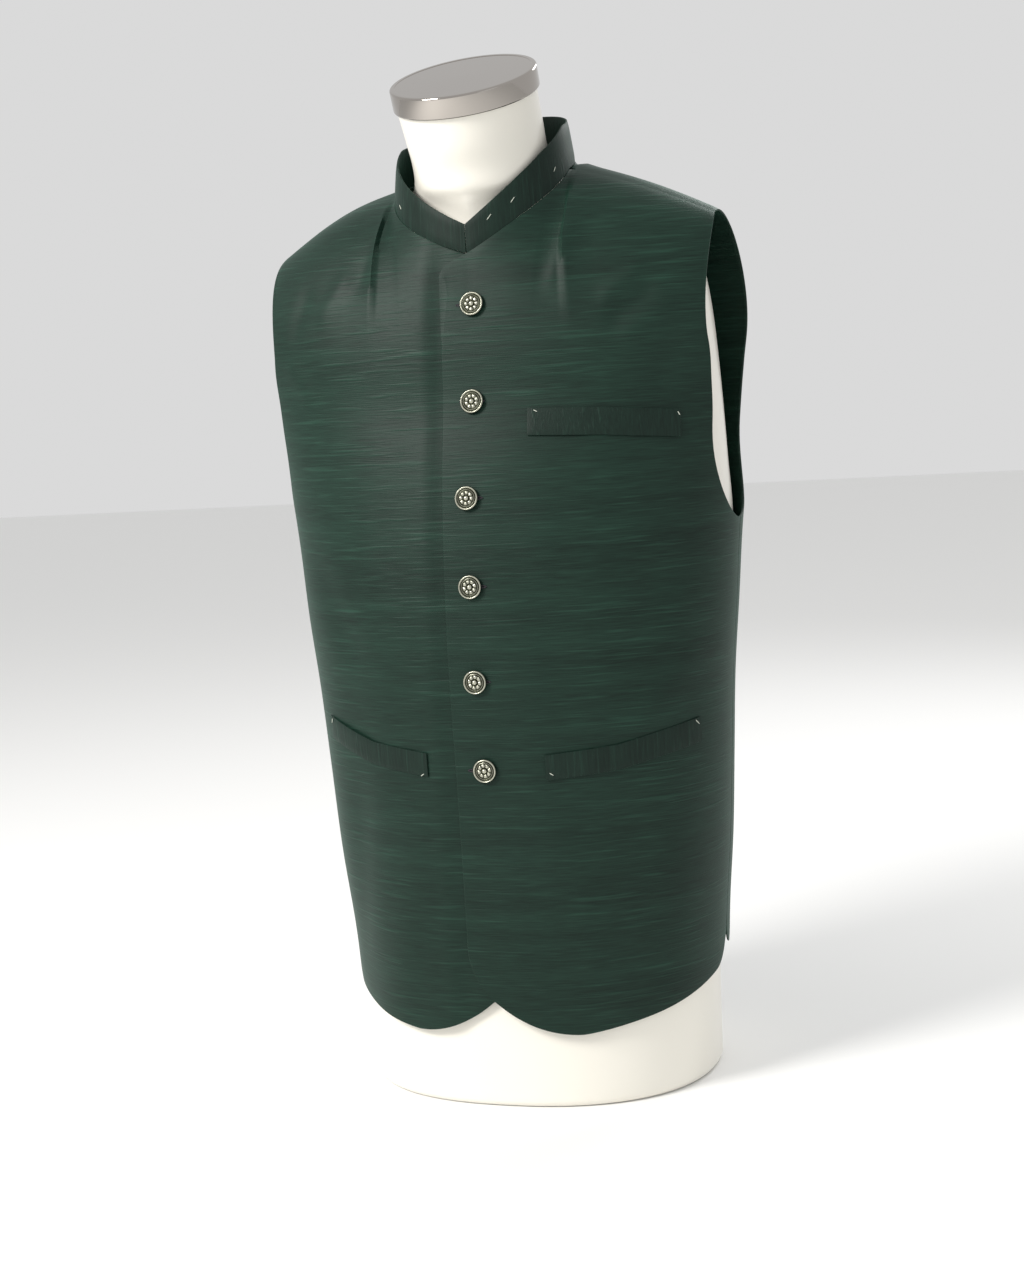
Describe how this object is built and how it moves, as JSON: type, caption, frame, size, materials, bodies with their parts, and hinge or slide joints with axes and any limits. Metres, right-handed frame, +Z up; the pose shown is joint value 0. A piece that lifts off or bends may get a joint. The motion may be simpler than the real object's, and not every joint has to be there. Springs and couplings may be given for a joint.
{
  "type": "nehru jacket on dress form",
  "caption": "Sleeveless band-collar silk jacket with metal buttons and welt pockets, standing on a limbless dress form.",
  "frame": {"origin": "middle of the whole object's box, on the surface that the form stands on", "axes": "+Z up, -Y the jacket's front, +X the wearer's left"},
  "size_m": [0.394, 0.2626, 0.871],
  "materials": {
    "silk": "slubbed raw silk, soft sheen",
    "silk_turned": "raw silk with its grain turned",
    "button_metal": "antiqued, polished high spots",
    "form_white": "semi-gloss ivory white",
    "chrome": "polished"
  },
  "bodies": {
    "root": {"front_left": "silk", "front_right": "silk", "back": "silk", "collar": "silk_turned", "breast_welt": "silk_turned", "hip_welt_left": "silk_turned", "hip_welt_right": "silk_turned", "button_1": "button_metal", "button_2": "button_metal", "button_3": "button_metal", "button_4": "button_metal", "button_5": "button_metal", "button_6": "button_metal", "form_torso": "form_white", "neck_cap": "chrome"}
  },
  "joints": []
}
